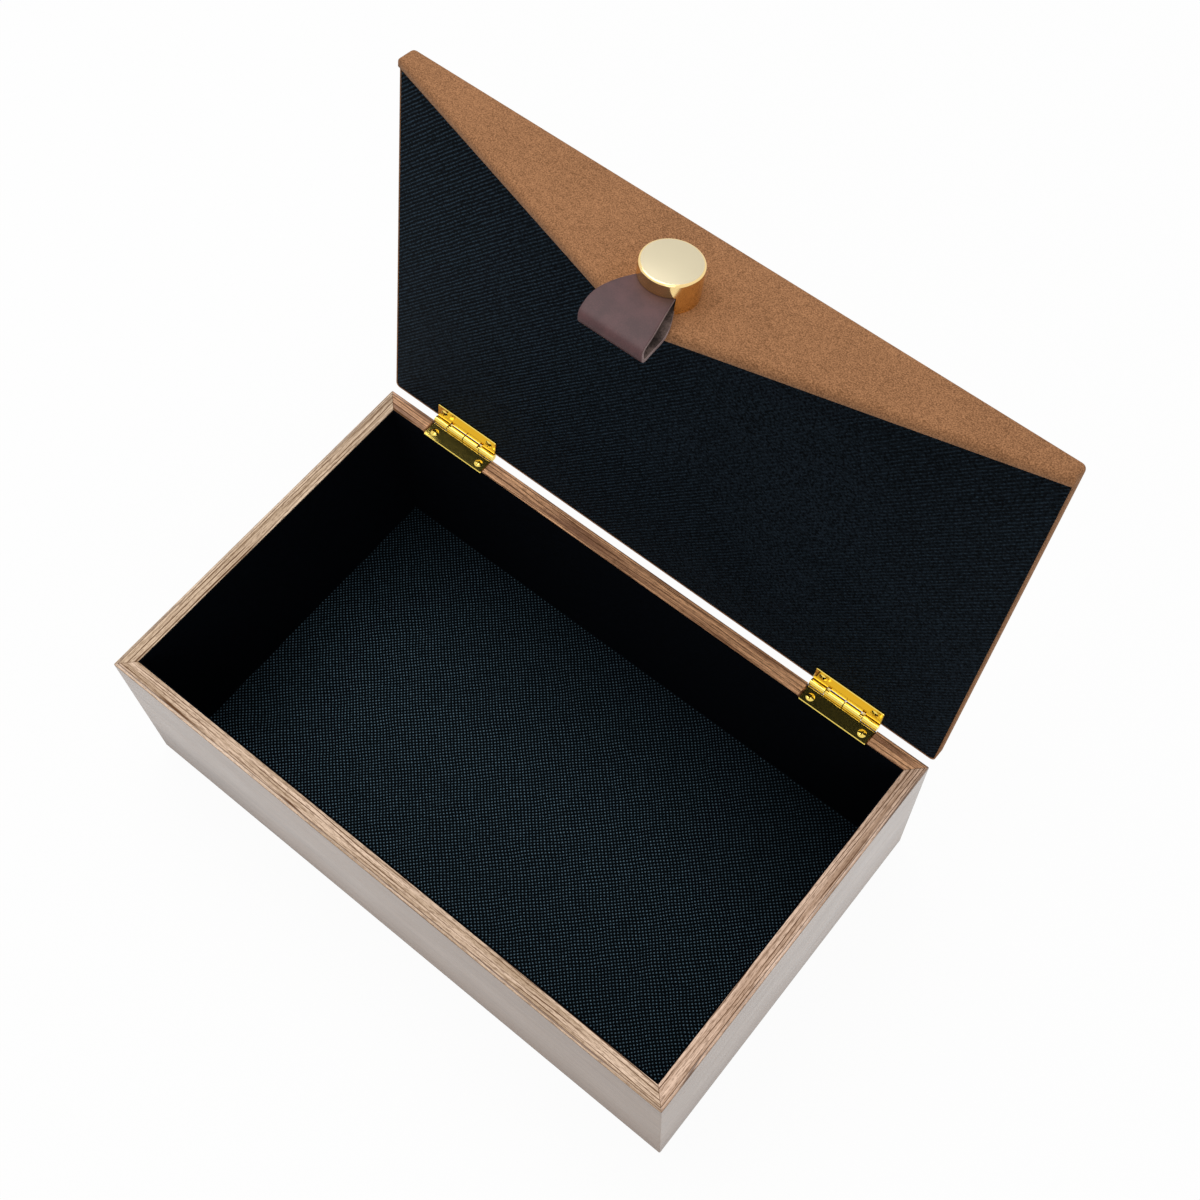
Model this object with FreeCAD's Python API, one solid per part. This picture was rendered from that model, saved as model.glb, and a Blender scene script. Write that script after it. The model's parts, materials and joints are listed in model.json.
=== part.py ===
import FreeCAD, Part
import math
import os

# Hinged storage box with an envelope lid, in millimetres. The origin is the centre of the underside,
# +X runs along the box, +Y goes back to the hinges and +Z is up. The lid is drawn shut, then swung open.

# Box
box_length = 260.0
box_depth = 155.0
box_height = 80.0
board_thickness = 5.3
facing_thickness = 1.2
facing_lift = 0.4
facing_edge_round = 0.5
base_thickness = 2.5
base_rebate = 3.0
floor_thickness = 0.8
felt_thickness = 0.6
felt_below_rim = 0.3

# Lid and its flap, which hangs in front of the box when the lid is shut
lid_thickness = 6.6
cover_thickness = 1.0
cover_round = 2.0
twill_thickness = 0.6
twill_margin = 0.5
flap_thickness = 4.0
flap_front_gap = 0.6
flap_drop = 41.0
flap_corner_drop = 1.0
flap_tip_round = 6.0
open_angle = 101.5

# Hinges
hinge_from_end = 38.0
hinge_length = 30.0
leaf_width = 8.0
leaf_thickness = 0.8
leaf_corner_round = 0.7
leaf_edge_bevel = 0.25
barrel_radius = 1.5
pin_radius = 0.75
end_knuckle_length = 6.5
middle_seam_width = 0.4
axis_rise = 0.1
axis_setback = 0.9
stop_lug_length = 1.0
stop_lug_angle = 50.0
stop_lug_shut_angle = 163.0
stop_play_angle = 2.0

# Hinge screws
screw_from_leaf_end = 3.5
screw_from_axis = 5.0
screw_head_radius = 1.7
screw_head_height = 0.5
screw_shank_radius = 0.9
screw_point_length = 1.2
box_screw_length = 8.0
lid_screw_length = 4.4
cross_length = 2.0
cross_width = 0.45
cross_depth = 0.3

# Knob and its screw
knob_radius = 10.25
knob_height = 11.5
knob_crown = 0.35
knob_faced_radius = 0.8
knob_edge_round = 0.75
knob_above_tip = 17.0
pocket_half_width = 7.5
pocket_height = 6.5
pocket_back = 7.0
post_radius = 3.2
knob_screw_radius = 2.0
knob_screw_grip = 8.0
knob_screw_head_radius = 3.6
knob_screw_head_height = 1.6
knob_screw_spare = 0.6

# Leather pull tab, a strap folded into a loop
strap_thickness = 1.4
strap_root_half_width = 6.8
strap_fold_half_width = 12.0
strap_back = 6.6
strap_bend_before_tip = 2.4
strap_overhang = 9.0
strap_droop = 1.0
strap_fold_radius = 1.9
strap_fold_angle = 182.0
strap_widens_at = 5.5

# Clearances
glue_gap = 0.02
seat_gap = 0.1
mortise_end_gap = 0.4
pin_gap = 0.05
knuckle_gap = 0.3
thread_gap = 0.05
cut_overrun = 2.0

# Places worked out from the sizes above
half_length = box_length / 2
half_depth = box_depth / 2
wall_thickness = board_thickness + facing_thickness
floor_top = base_thickness + floor_thickness
axis_y = half_depth + axis_setback
axis_z = box_height + axis_rise
leaf_gap = barrel_radius - leaf_thickness
middle_barrel_length = hinge_length - (end_knuckle_length + knuckle_gap) * 2
lid_low = axis_z + barrel_radius
lid_top = lid_low + lid_thickness
lid_board_low = lid_low + twill_thickness
lid_board_top = lid_top - cover_thickness
flap_inside = -half_depth - flap_front_gap
flap_outside = flap_inside - flap_thickness
flap_board_inside = flap_inside - twill_thickness
flap_board_outside = flap_outside + cover_thickness
tip_z = lid_low - flap_drop
knob_z = tip_z + knob_above_tip
hinge_sides = {"left": hinge_from_end - half_length, "right": half_length - hinge_from_end}
X_AXIS = FreeCAD.Vector(1, 0, 0)
Y_AXIS = FreeCAD.Vector(0, 1, 0)
Z_AXIS = FreeCAD.Vector(0, 0, 1)


def block(x, y, z):
    """Box between two limits along each axis."""
    size = (x[1] - x[0], y[1] - y[0], z[1] - z[0])
    return Part.makeBox(*size, FreeCAD.Vector(x[0], y[0], z[0]))


def prism(points, direction):
    """Straight-sided solid from a closed outline of points."""
    return Part.Face(Part.makePolygon(points + points[:1])).extrude(direction)


def rod(radius, start, direction, length):
    return Part.makeCylinder(radius, length, start, direction)


def dome_arc(radius, rise, base, inner=0.0):
    """Half profile of a shallow dome, from its edge up to where it ends near or on the Z axis."""
    sphere = (radius**2 + rise**2) / (2 * rise)
    centre = base + rise - sphere
    stops = radius, (radius + inner) / 2, inner
    return Part.Arc(*(FreeCAD.Vector(x, 0, centre + math.sqrt(sphere**2 - x**2)) for x in stops)).toShape()


# Walls

def mitred_board(side, outset, thickness, low, high):
    """One side of the box's frame, with its ends cut at 45 degrees."""
    lengthwise = side in ("front", "back")
    half_run = (half_length if lengthwise else half_depth) - outset
    face = (half_depth if lengthwise else half_length) - outset
    inner_run, inner_face = half_run - thickness, face - thickness
    outline = [(-half_run, face), (half_run, face), (inner_run, inner_face), (-inner_run, inner_face)]
    sign = 1 if side in ("back", "right") else -1
    points = []
    for along, across in outline:
        place = (along, sign * across) if lengthwise else (sign * across, along)
        points.append(FreeCAD.Vector(*place, low))
    return prism(points, FreeCAD.Vector(0, 0, high - low))


def base_seat():
    """Step cut round the inside of the walls for the base panel."""
    x = half_length - wall_thickness + base_rebate
    y = half_depth - wall_thickness + base_rebate
    return block((-x, x), (-y, y), (-cut_overrun, base_thickness))


def hinge_mortises():
    """Two notches across the back rim that take the box leaves, deeper at the back where the barrel turns."""
    cuts = []
    for x in hinge_sides.values():
        half = hinge_length / 2 + mortise_end_gap
        y = half_depth - wall_thickness - felt_thickness - cut_overrun, half_depth + cut_overrun
        cuts.append(block((x - half, x + half), y, (axis_z - barrel_radius, box_height + cut_overrun)))
        cuts.append(knuckle_room(x - half, x + half))
    return cuts


def screw_places(x):
    reach = hinge_length / 2 - screw_from_leaf_end
    return [x - reach, x + reach]


def screw_holes(direction, length):
    """Holes for all the screws on one side of the hinge axis, each a little deeper than its screw."""
    holes = []
    depth = leaf_gap + length + seat_gap
    for x in hinge_sides.values():
        for place in screw_places(x):
            start = FreeCAD.Vector(place, axis_y - screw_from_axis, axis_z)
            holes.append(rod(screw_shank_radius + thread_gap, start, direction, depth))
    return holes


def wall_board(side):
    board = mitred_board(side, facing_thickness, board_thickness, 0, box_height).cut(base_seat())
    cuts = hinge_mortises() + screw_holes(-Z_AXIS, box_screw_length)
    return board.cut(cuts) if side == "back" else board


def wall_facing(side):
    """Veneered strip on the outside of a wall, with its outer edges and its end of each corner eased."""
    strip = mitred_board(side, 0, facing_thickness - glue_gap, facing_lift, box_height)
    envelope = block((-half_length, half_length), (-half_depth, half_depth), (facing_lift, box_height))
    facing = strip.common(envelope.makeFillet(facing_edge_round, envelope.Edges))
    return facing.cut(hinge_mortises()) if side == "back" else facing


def wall_lining(side):
    """Felt from the floor to just under the rim."""
    top = box_height - felt_below_rim
    lining = mitred_board(side, wall_thickness + glue_gap, felt_thickness, floor_top, top)
    return lining.cut(hinge_mortises()) if side == "back" else lining


def base_panel():
    x = half_length - wall_thickness + base_rebate - seat_gap
    y = half_depth - wall_thickness + base_rebate - seat_gap
    return block((-x, x), (-y, y), (0, base_thickness))


def floor_lining():
    x = half_length - wall_thickness - seat_gap
    y = half_depth - wall_thickness - seat_gap
    return block((-x, x), (-y, y), (base_thickness, floor_top - glue_gap))


# Hinges

def leaf_plate(x, facing_down):
    """Flat of one leaf, from under the barrel to its free edge, with rounded corners and bevelled edges."""
    half = hinge_length / 2
    low = axis_z + leaf_gap if facing_down else axis_z - barrel_radius
    plate = block((x - half, x + half), (axis_y - leaf_width, axis_y), (low, low + leaf_thickness))
    free_corners = [e for e in plate.Edges if is_upright(e) and e.CenterOfMass.y < axis_y - leaf_width / 2]
    plate = plate.makeFillet(leaf_corner_round, free_corners)
    shown = low if facing_down else low + leaf_thickness
    level_edges = [e for e in plate.Edges if lies_level(e, shown)]
    free_edges = [e for e in level_edges if e.CenterOfMass.y < axis_y - leaf_edge_bevel]
    return plate.makeChamfer(leaf_edge_bevel, free_edges)


def is_upright(edge):
    start, end = edge.Vertexes[0].Point, edge.Vertexes[-1].Point
    return start.x == end.x and start.y == end.y


def lies_level(edge, height):
    return all(math.isclose(corner.Z, height, abs_tol=glue_gap) for corner in edge.Vertexes)


def barrel_piece(x_start, x_end, radius=barrel_radius):
    return rod(radius, FreeCAD.Vector(x_start, axis_y, axis_z), X_AXIS, x_end - x_start)


def barrel_sector(x_start, x_end, start_angle, sweep_angle):
    """Slice of the barrel, its angle counted about +X from straight down."""
    length = x_end - x_start
    sector = Part.makeCylinder(barrel_radius, length, FreeCAD.Vector(), Z_AXIS, sweep_angle)
    sector.rotate(FreeCAD.Vector(), Y_AXIS, 90)
    sector.rotate(FreeCAD.Vector(), X_AXIS, start_angle)
    return sector.translated(FreeCAD.Vector(x_start, axis_y, axis_z))


def knuckle_room(x_start, x_end):
    """Space that the other leaf's knuckle turns in."""
    reach = barrel_radius + knuckle_gap
    return block((x_start, x_end), (axis_y - reach, axis_y + reach), (axis_z - reach, axis_z + reach))


def pin_bore(x):
    half = hinge_length / 2 + cut_overrun
    return barrel_piece(x - half, x + half, pin_radius + pin_gap)


def leaf_screw_holes(x):
    holes = []
    for place in screw_places(x):
        start = FreeCAD.Vector(place, axis_y - screw_from_axis, axis_z - barrel_radius - cut_overrun)
        holes.append(rod(screw_shank_radius + thread_gap, start, Z_AXIS, (barrel_radius + cut_overrun) * 2))
    return holes


def box_leaf(x):
    """Leaf let into the rim. Its two middle knuckles are recessed at their ends for the lid's stop lugs."""
    half = hinge_length / 2
    middle = middle_barrel_length / 2
    seam = middle_seam_width / 2
    end_gap = middle + knuckle_gap
    outer = half + cut_overrun
    rooms = [knuckle_room(x - outer, x - middle), knuckle_room(x + middle, x + outer)]
    knuckles = [barrel_piece(x - middle, x - seam), barrel_piece(x + seam, x + middle)]
    leaf = leaf_plate(x, False).cut(rooms).fuse(knuckles)
    recess_start = stop_lug_shut_angle - open_angle - stop_play_angle
    recess_sweep = open_angle + stop_lug_angle + stop_play_angle * 2
    recess_depth = stop_lug_length + knuckle_gap
    recesses = [
        barrel_sector(x - end_gap, x - middle + recess_depth, recess_start, recess_sweep),
        barrel_sector(x + middle - recess_depth, x + end_gap, recess_start, recess_sweep),
    ]
    return leaf.cut(recesses + [pin_bore(x)] + leaf_screw_holes(x)).removeSplitter()


def lid_leaf(x):
    """Leaf on the lid's lining. Lugs on its end knuckles meet the box leaf's recesses and stop the lid."""
    half = hinge_length / 2
    inner = middle_barrel_length / 2 + knuckle_gap
    lug_end = inner - knuckle_gap - stop_lug_length
    knuckles = [barrel_piece(x - half, x - inner), barrel_piece(x + inner, x + half)]
    leaf = leaf_plate(x, True).cut(knuckle_room(x - inner, x + inner)).fuse(knuckles)
    lugs = [
        barrel_sector(x - inner, x - lug_end, stop_lug_shut_angle, stop_lug_angle),
        barrel_sector(x + lug_end, x + inner, stop_lug_shut_angle, stop_lug_angle),
    ]
    return leaf.fuse(lugs).cut([pin_bore(x)] + leaf_screw_holes(x)).removeSplitter()


def hinge_pin(x):
    return barrel_piece(x - hinge_length / 2, x + hinge_length / 2, pin_radius)


def cross_recess(length, width, depth):
    """Cross-shaped drive recess, its mouth at the origin and cut along -Z."""
    along = (-length / 2, length / 2)
    across = (-width / 2, width / 2)
    z = (-depth, cut_overrun)
    return [block(along, across, z), block(across, along, z)]


def wood_screw(length):
    """Dome-headed screw along -Z, with the underside of its head at the origin."""
    point_start = -(length - screw_point_length)
    crown = dome_arc(screw_head_radius, screw_head_height, 0)
    outline = Part.makePolygon([
        FreeCAD.Vector(0, 0, screw_head_height),
        FreeCAD.Vector(0, 0, -length),
        FreeCAD.Vector(screw_shank_radius, 0, point_start),
        FreeCAD.Vector(screw_shank_radius, 0, 0),
        FreeCAD.Vector(screw_head_radius, 0, 0),
    ])
    profile = Part.Face(Part.Wire(outline.Edges + [crown]))
    screw = profile.revolve(FreeCAD.Vector(), Z_AXIS, 360)
    recess = cross_recess(cross_length, cross_width, cross_depth)
    return screw.cut([r.translated(FreeCAD.Vector(0, 0, screw_head_height)) for r in recess])


def leaf_screws(x, on_lid):
    """The two screws of one leaf."""
    screws = []
    for place in screw_places(x):
        screw = wood_screw(lid_screw_length if on_lid else box_screw_length)
        if on_lid:
            screw.rotate(FreeCAD.Vector(), X_AXIS, 180)
        face = axis_z + leaf_gap if on_lid else axis_z - leaf_gap
        screws.append(screw.translated(FreeCAD.Vector(place, axis_y - screw_from_axis, face)))
    return Part.makeCompound(screws)


# Lid, drawn shut

def flap_outline(inset, y):
    """Face of the flap: a triangle with its tip rounded, drawn in by inset all round."""
    slope = (flap_drop - flap_corner_drop) / half_length
    lean = math.hypot(1, slope)
    side = half_length - inset
    tip = tip_z + inset * lean
    corner = tip + slope * side
    round_radius = flap_tip_round - inset
    touch_x = round_radius * slope / lean
    touch_z = tip + slope * touch_x
    low_z = tip + round_radius * (lean - 1)
    top = lid_top - inset
    tip_arc = Part.Arc(
        FreeCAD.Vector(-touch_x, y, touch_z),
        FreeCAD.Vector(0, y, low_z),
        FreeCAD.Vector(touch_x, y, touch_z),
    )
    line = Part.makePolygon([
        FreeCAD.Vector(touch_x, y, touch_z),
        FreeCAD.Vector(side, y, corner),
        FreeCAD.Vector(side, y, top),
        FreeCAD.Vector(-side, y, top),
        FreeCAD.Vector(-side, y, corner),
        FreeCAD.Vector(-touch_x, y, touch_z),
    ])
    return Part.Face(Part.Wire(line.Edges + [tip_arc.toShape()]))


def flap_slab(inset, y_inside, y_outside):
    return flap_outline(inset, y_inside).extrude(FreeCAD.Vector(0, y_outside - y_inside, 0))


def lid_core():
    side = half_length - cover_thickness
    y = flap_board_inside, half_depth - cover_thickness
    return block((-side, side), y, (lid_board_low, lid_board_top))


def flap_core():
    return flap_slab(cover_thickness, flap_board_inside, flap_board_outside)


def knob_screw_hole():
    start = FreeCAD.Vector(0, flap_board_inside, knob_z)
    depth = flap_board_inside - flap_outside + knob_screw_grip + knob_screw_spare
    return rod(knob_screw_radius + thread_gap, start, -Y_AXIS, depth)


def knob_screw_countersink():
    start = FreeCAD.Vector(0, flap_board_inside, knob_z)
    wide, narrow = knob_screw_head_radius + thread_gap, knob_screw_radius + thread_gap
    return Part.makeCone(wide, narrow, knob_screw_head_height, start, -Y_AXIS)


def lid_board():
    return lid_core().cut(screw_holes(Z_AXIS, lid_screw_length))


def flap_board():
    return flap_core().cut([knob_screw_hole(), knob_screw_countersink()])


def lid_lining():
    side = half_length - twill_margin
    y = flap_inside, half_depth - twill_margin
    sheet = block((-side, side), y, (lid_low, lid_board_low - glue_gap))
    return sheet.cut(screw_holes(Z_AXIS, lid_screw_length))


def flap_lining():
    """Twill on the flap's inner face, up to the lid's lining."""
    sheet = flap_slab(twill_margin, flap_inside, flap_board_inside + glue_gap)
    y = flap_outside, flap_inside + cut_overrun
    return sheet.cut(block((-box_length, box_length), y, (lid_low, lid_top + cut_overrun)))


def is_cover_edge(edge):
    """True on the outer edges that the suede is drawn round."""
    middle = edge.CenterOfMass
    on_top = abs(middle.z - lid_top) < cover_thickness
    on_front = abs(middle.y - flap_outside) < cover_thickness
    return on_top or on_front


def lid_cover():
    """Suede over the top, the edges and the flap, as a shell round the boards and linings."""
    panel = block((-half_length, half_length), (flap_outside, half_depth), (lid_low, lid_top))
    form = panel.fuse(flap_slab(0, flap_inside, flap_outside)).removeSplitter()
    form = form.makeFillet(cover_round, [e for e in form.Edges if is_cover_edge(e)])
    side = half_length - twill_margin
    y = flap_inside, half_depth - twill_margin
    lining_room = block((-side, side), y, (lid_low - cut_overrun, lid_board_low))
    flap_lining_room = flap_slab(twill_margin, flap_inside + cut_overrun, flap_board_inside)
    shell = form.cut([lid_core(), flap_core(), lining_room, flap_lining_room])
    return shell.cut(knob_screw_hole())


# Knob and pull tab, drawn with the lid shut

def knob():
    """Turned cap with a pocket under its front for the strap, and a post that the strap's ends hang on."""
    shoulder = knob_height - knob_edge_round
    flat_end = knob_radius - knob_edge_round
    corner = knob_edge_round * math.sqrt(0.5)
    crown = dome_arc(flat_end, knob_crown, knob_height, knob_faced_radius)
    crown_top = crown.BoundBox.ZMax
    line = Part.makePolygon([
        FreeCAD.Vector(knob_faced_radius, 0, crown_top),
        FreeCAD.Vector(0, 0, crown_top),
        FreeCAD.Vector(),
        FreeCAD.Vector(knob_radius, 0, 0),
        FreeCAD.Vector(knob_radius, 0, shoulder),
    ])
    edge = Part.Arc(
        FreeCAD.Vector(knob_radius, 0, shoulder),
        FreeCAD.Vector(flat_end + corner, 0, shoulder + corner),
        FreeCAD.Vector(flat_end, 0, knob_height),
    )
    profile = Part.Face(Part.Wire(line.Edges + [edge.toShape(), crown]))
    body = profile.revolve(FreeCAD.Vector(), Z_AXIS, 360)
    y = -knob_radius - cut_overrun, pocket_back
    pocket = block((-pocket_half_width, pocket_half_width), y, (-cut_overrun, pocket_height))
    post = rod(post_radius, FreeCAD.Vector(), Z_AXIS, pocket_height)
    body = body.cut(pocket).fuse(post).removeSplitter()
    body.rotate(FreeCAD.Vector(), X_AXIS, 90)
    return body.translated(FreeCAD.Vector(0, flap_outside - glue_gap, knob_z)).cut(knob_screw_hole())


def knob_screw():
    """Countersunk machine screw, its head flush with the flap board under the lining."""
    head_end = FreeCAD.Vector(0, flap_board_inside - knob_screw_head_height, knob_z)
    head_start = FreeCAD.Vector(0, flap_board_inside, knob_z)
    shank_length = flap_board_inside - knob_screw_head_height - flap_outside + knob_screw_grip
    radii = knob_screw_head_radius, knob_screw_radius
    head = Part.makeCone(*radii, knob_screw_head_height, head_start, -Y_AXIS)
    screw = head.fuse(rod(knob_screw_radius, head_end, -Y_AXIS, shank_length)).removeSplitter()
    cross = cross_recess(knob_screw_radius * 2, knob_screw_radius / 2, knob_screw_head_height / 2)
    recess = Part.makeCompound(cross)
    recess.rotate(FreeCAD.Vector(), X_AXIS, -90)
    return screw.cut(recess.translated(head_start))


def strap_station(station, length):
    """Goes straight on along the strap's line: a station is how far out, how far up, and the heading."""
    out, up, heading = station
    return out + length * math.cos(heading), up + length * math.sin(heading), heading


def strap_bend(station, radius, angle):
    """Goes round a bend, to the left where the angle is positive."""
    out, up, heading = station
    turned = heading + angle
    side = radius if angle > 0 else -radius
    out += side * (math.sin(turned) - math.sin(heading))
    up -= side * (math.cos(turned) - math.cos(heading))
    return out, up, turned


def strap_line():
    """Middle line of the loop, lower end first, as runs of two stations and bends of three."""
    tip_out = flap_drop
    start_out = tip_out - knob_above_tip - strap_back
    low_up = glue_gap + strap_thickness / 2
    high_up = pocket_height - seat_gap - strap_thickness / 2
    start = (start_out, low_up, 0.0)
    bend = strap_station(start, tip_out - strap_bend_before_tip - start_out)
    run = strap_bend_before_tip + strap_overhang
    fall = strap_droop + low_up
    dip_angle = -2 * math.atan2(fall, run)
    dip_radius = (run**2 + fall**2) / (2 * fall)
    dip_middle = strap_bend(bend, dip_radius, dip_angle / 2)
    fold = strap_bend(bend, dip_radius, dip_angle)
    fold_angle = math.radians(strap_fold_angle)
    fold_middle = strap_bend(fold, strap_fold_radius, fold_angle / 2)
    back = strap_bend(fold, strap_fold_radius, fold_angle)
    level_angle = math.pi - back[2]
    level_radius = (high_up - back[1]) / (1 - math.cos(level_angle))
    back_middle = strap_bend(back, level_radius, level_angle / 2)
    level = strap_bend(back, level_radius, level_angle)
    end = strap_station(level, level[0] - start_out)
    bends = [(bend, dip_middle, fold), (fold, fold_middle, back), (back, back_middle, level)]
    return [(start, bend)] + bends + [(level, end)]


def strap_point(station, side):
    """Point on one face of the strap, placed on the shut lid's flap."""
    out, up, heading = station
    out -= side * math.sin(heading)
    up += side * math.cos(heading)
    return FreeCAD.Vector(0, flap_outside - up, lid_low - out)


def strap_face_edges(line, side):
    edges = []
    for run in line:
        points = [strap_point(station, side) for station in run]
        edges.append(Part.makeLine(*points) if len(points) == 2 else Part.Arc(*points).toShape())
    return edges


def pull_tab():
    """Strap that widens from the knob to its fold, with a hole in each end for the knob's post."""
    line = strap_line()
    half = strap_thickness / 2
    ends = [Part.makeLine(strap_point(s, half), strap_point(s, -half)) for s in (line[0][0], line[-1][-1])]
    edges = strap_face_edges(line, half) + strap_face_edges(line, -half) + ends
    section = Part.Face(Part.Wire(Part.__sortEdges__(edges)))
    loop = section.extrude(FreeCAD.Vector(strap_fold_half_width * 2, 0, 0))
    loop = loop.translated(FreeCAD.Vector(-strap_fold_half_width, 0, 0))
    y = flap_outside + strap_droop + strap_thickness + cut_overrun
    depth = y - flap_outside + pocket_height + cut_overrun
    root_z = knob_z + strap_back + cut_overrun
    wide_z = knob_z - strap_widens_at
    fold_z = tip_z - strap_overhang
    low_z = fold_z - strap_fold_radius - strap_thickness - cut_overrun
    outline = [
        (strap_root_half_width, root_z),
        (strap_root_half_width, wide_z),
        (strap_fold_half_width, fold_z),
        (strap_fold_half_width, low_z),
    ]
    points = [FreeCAD.Vector(x, y, z) for x, z in outline]
    points += [FreeCAD.Vector(-x, y, z) for x, z in reversed(outline)]
    loop = loop.common(prism(points, FreeCAD.Vector(0, -depth, 0)))
    post_start = FreeCAD.Vector(0, flap_outside + cut_overrun, knob_z)
    return loop.cut(rod(post_radius + seat_gap, post_start, -Y_AXIS, pocket_height + cut_overrun * 2))


# Assembly

def opened(shape):
    """Swings a piece of the shut lid open about the hinge axis."""
    turned = shape.copy()
    turned.rotate(FreeCAD.Vector(0, axis_y, axis_z), X_AXIS, -open_angle)
    return turned


def write(name, shape):
    shape.exportStep(f"parts/{name}.step")


def main():
    os.makedirs("parts", exist_ok=True)
    for side in ("front", "back", "left", "right"):
        write(f"{side}_wall", wall_board(side))
        write(f"{side}_facing", wall_facing(side))
        write(f"{side}_lining", wall_lining(side))
    write("base_panel", base_panel())
    write("floor_lining", floor_lining())
    for side, x in hinge_sides.items():
        write(f"{side}_hinge_box_leaf", box_leaf(x))
        write(f"{side}_hinge_pin", hinge_pin(x))
        write(f"{side}_hinge_box_screws", leaf_screws(x, False))
        write(f"{side}_hinge_lid_leaf", opened(lid_leaf(x)))
        write(f"{side}_hinge_lid_screws", opened(leaf_screws(x, True)))
    write("lid_board", opened(lid_board()))
    write("lid_cover", opened(lid_cover()))
    write("lid_lining", opened(lid_lining()))
    write("flap_board", opened(flap_board()))
    write("flap_lining", opened(flap_lining()))
    write("knob", opened(knob()))
    write("knob_screw", opened(knob_screw()))
    write("pull_tab", opened(pull_tab()))


main()
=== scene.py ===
import json
import math

import bmesh
import bpy
from mathutils import Matrix, Vector


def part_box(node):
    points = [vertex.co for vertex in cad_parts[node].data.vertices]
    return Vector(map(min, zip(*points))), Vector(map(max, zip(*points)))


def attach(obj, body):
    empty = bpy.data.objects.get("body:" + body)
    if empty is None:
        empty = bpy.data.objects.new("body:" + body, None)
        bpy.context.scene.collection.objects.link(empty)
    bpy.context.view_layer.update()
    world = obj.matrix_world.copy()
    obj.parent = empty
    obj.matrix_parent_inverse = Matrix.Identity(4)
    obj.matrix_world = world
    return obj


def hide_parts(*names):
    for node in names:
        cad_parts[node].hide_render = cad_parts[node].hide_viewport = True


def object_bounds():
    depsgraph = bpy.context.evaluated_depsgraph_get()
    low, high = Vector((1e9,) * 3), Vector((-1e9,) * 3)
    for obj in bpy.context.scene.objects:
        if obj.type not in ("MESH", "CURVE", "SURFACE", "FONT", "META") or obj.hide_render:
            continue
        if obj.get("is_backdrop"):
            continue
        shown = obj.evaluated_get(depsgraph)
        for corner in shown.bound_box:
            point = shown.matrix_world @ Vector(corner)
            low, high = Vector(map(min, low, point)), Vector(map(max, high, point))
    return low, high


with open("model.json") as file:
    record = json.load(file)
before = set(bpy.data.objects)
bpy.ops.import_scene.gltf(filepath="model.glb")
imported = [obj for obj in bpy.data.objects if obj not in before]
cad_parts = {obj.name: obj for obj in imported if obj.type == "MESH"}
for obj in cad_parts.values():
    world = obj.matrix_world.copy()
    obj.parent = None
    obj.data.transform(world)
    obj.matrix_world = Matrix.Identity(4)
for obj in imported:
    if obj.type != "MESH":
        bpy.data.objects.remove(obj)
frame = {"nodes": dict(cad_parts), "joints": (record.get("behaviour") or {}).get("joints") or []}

cad_low, cad_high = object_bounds()
nodes = frame["nodes"]

# Walls: four boards glued up at mitred corners. Their top edges are the rim of the open box, walnut with
# long dark grain lines under a satin lacquer. A fine glue line shows where the outer facing meets the
# board.

# The boards' tones differ from wall to wall. The back board's lighter, redder tone is partly painted light,
# making up for the shade of the open lid over it.
walnut_and_painted_light_tones = {
    "front": ((0.79, 0.56, 0.39, 1), (0.46, 0.295, 0.165, 1)),
    "back": ((0.98, 0.52, 0.26, 1), (0.28, 0.115, 0.046, 1)),
    "left": ((0.79, 0.57, 0.38, 1), (0.44, 0.285, 0.155, 1)),
    "right": ((0.82, 0.56, 0.40, 1), (0.48, 0.285, 0.17, 1)),
}
walnut_line = (0.14, 0.066, 0.030, 1)
lines_per_mm = 0.62
line_wander = 4.5
rim_coat = 0.42
rim_gloss = 0.5
mm = 0.001


def start_material(name):
    """A new material, its node tree and its main shader."""
    material = bpy.data.materials.new(name)
    material.use_nodes = True
    return material, material.node_tree, material.node_tree.nodes["Principled BSDF"]


def shade(tree, kind, inputs, **options):
    """Adds a shader node, with each input given as a value or as another node's output."""
    node = tree.nodes.new(kind)
    for option, value in options.items():
        setattr(node, option, value)
    for socket, value in inputs.items():
        if isinstance(value, bpy.types.NodeSocket):
            tree.links.new(value, node.inputs[socket])
        else:
            node.inputs[socket].default_value = value
    return node


def calc(tree, operation, *terms):
    return shade(tree, "ShaderNodeMath", dict(enumerate(terms)), operation=operation).outputs[0]


def rise(tree, value, low, high):
    """0 below low, 1 above high, and smooth between them."""
    limits = {"Value": value, "From Min": low, "From Max": high}
    return shade(tree, "ShaderNodeMapRange", limits, interpolation_type="SMOOTHSTEP").outputs[0]


def mix_colours(tree, share, first, second):
    return shade(tree, "ShaderNodeMix", {0: share, 6: first, 7: second}, data_type="RGBA").outputs[2]


def place_on_piece(tree, turn=(0, 0, 0)):
    """Where a point lies on the object, in millimetres, with the axes turned to suit the piece."""
    where = shade(tree, "ShaderNodeTexCoord", {}).outputs["Object"]
    turned = {"Vector": where, "Rotation": turn, "Scale": (1 / mm, 1 / mm, 1 / mm)}
    return shade(tree, "ShaderNodeMapping", turned).outputs[0]


def mottle(tree, place, size, detail=2.0):
    """Soft random marks of about that size along each axis, in millimetres, from 0 to 1."""
    drawn = shade(tree, "ShaderNodeMapping", {"Vector": place, "Scale": [1 / s for s in size]})
    marks = {"Vector": drawn.outputs[0], "Scale": 1.0, "Detail": detail, "Roughness": 0.55}
    return shade(tree, "ShaderNodeTexNoise", marks).outputs[0]


def relief(tree, shader, height, depth):
    """Raises the surface by height, which goes from 0 to 1, times depth in metres."""
    bump = shade(tree, "ShaderNodeBump", {"Height": height, "Distance": depth, "Strength": 1.0})
    tree.links.new(bump.outputs[0], shader.inputs["Normal"])


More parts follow.
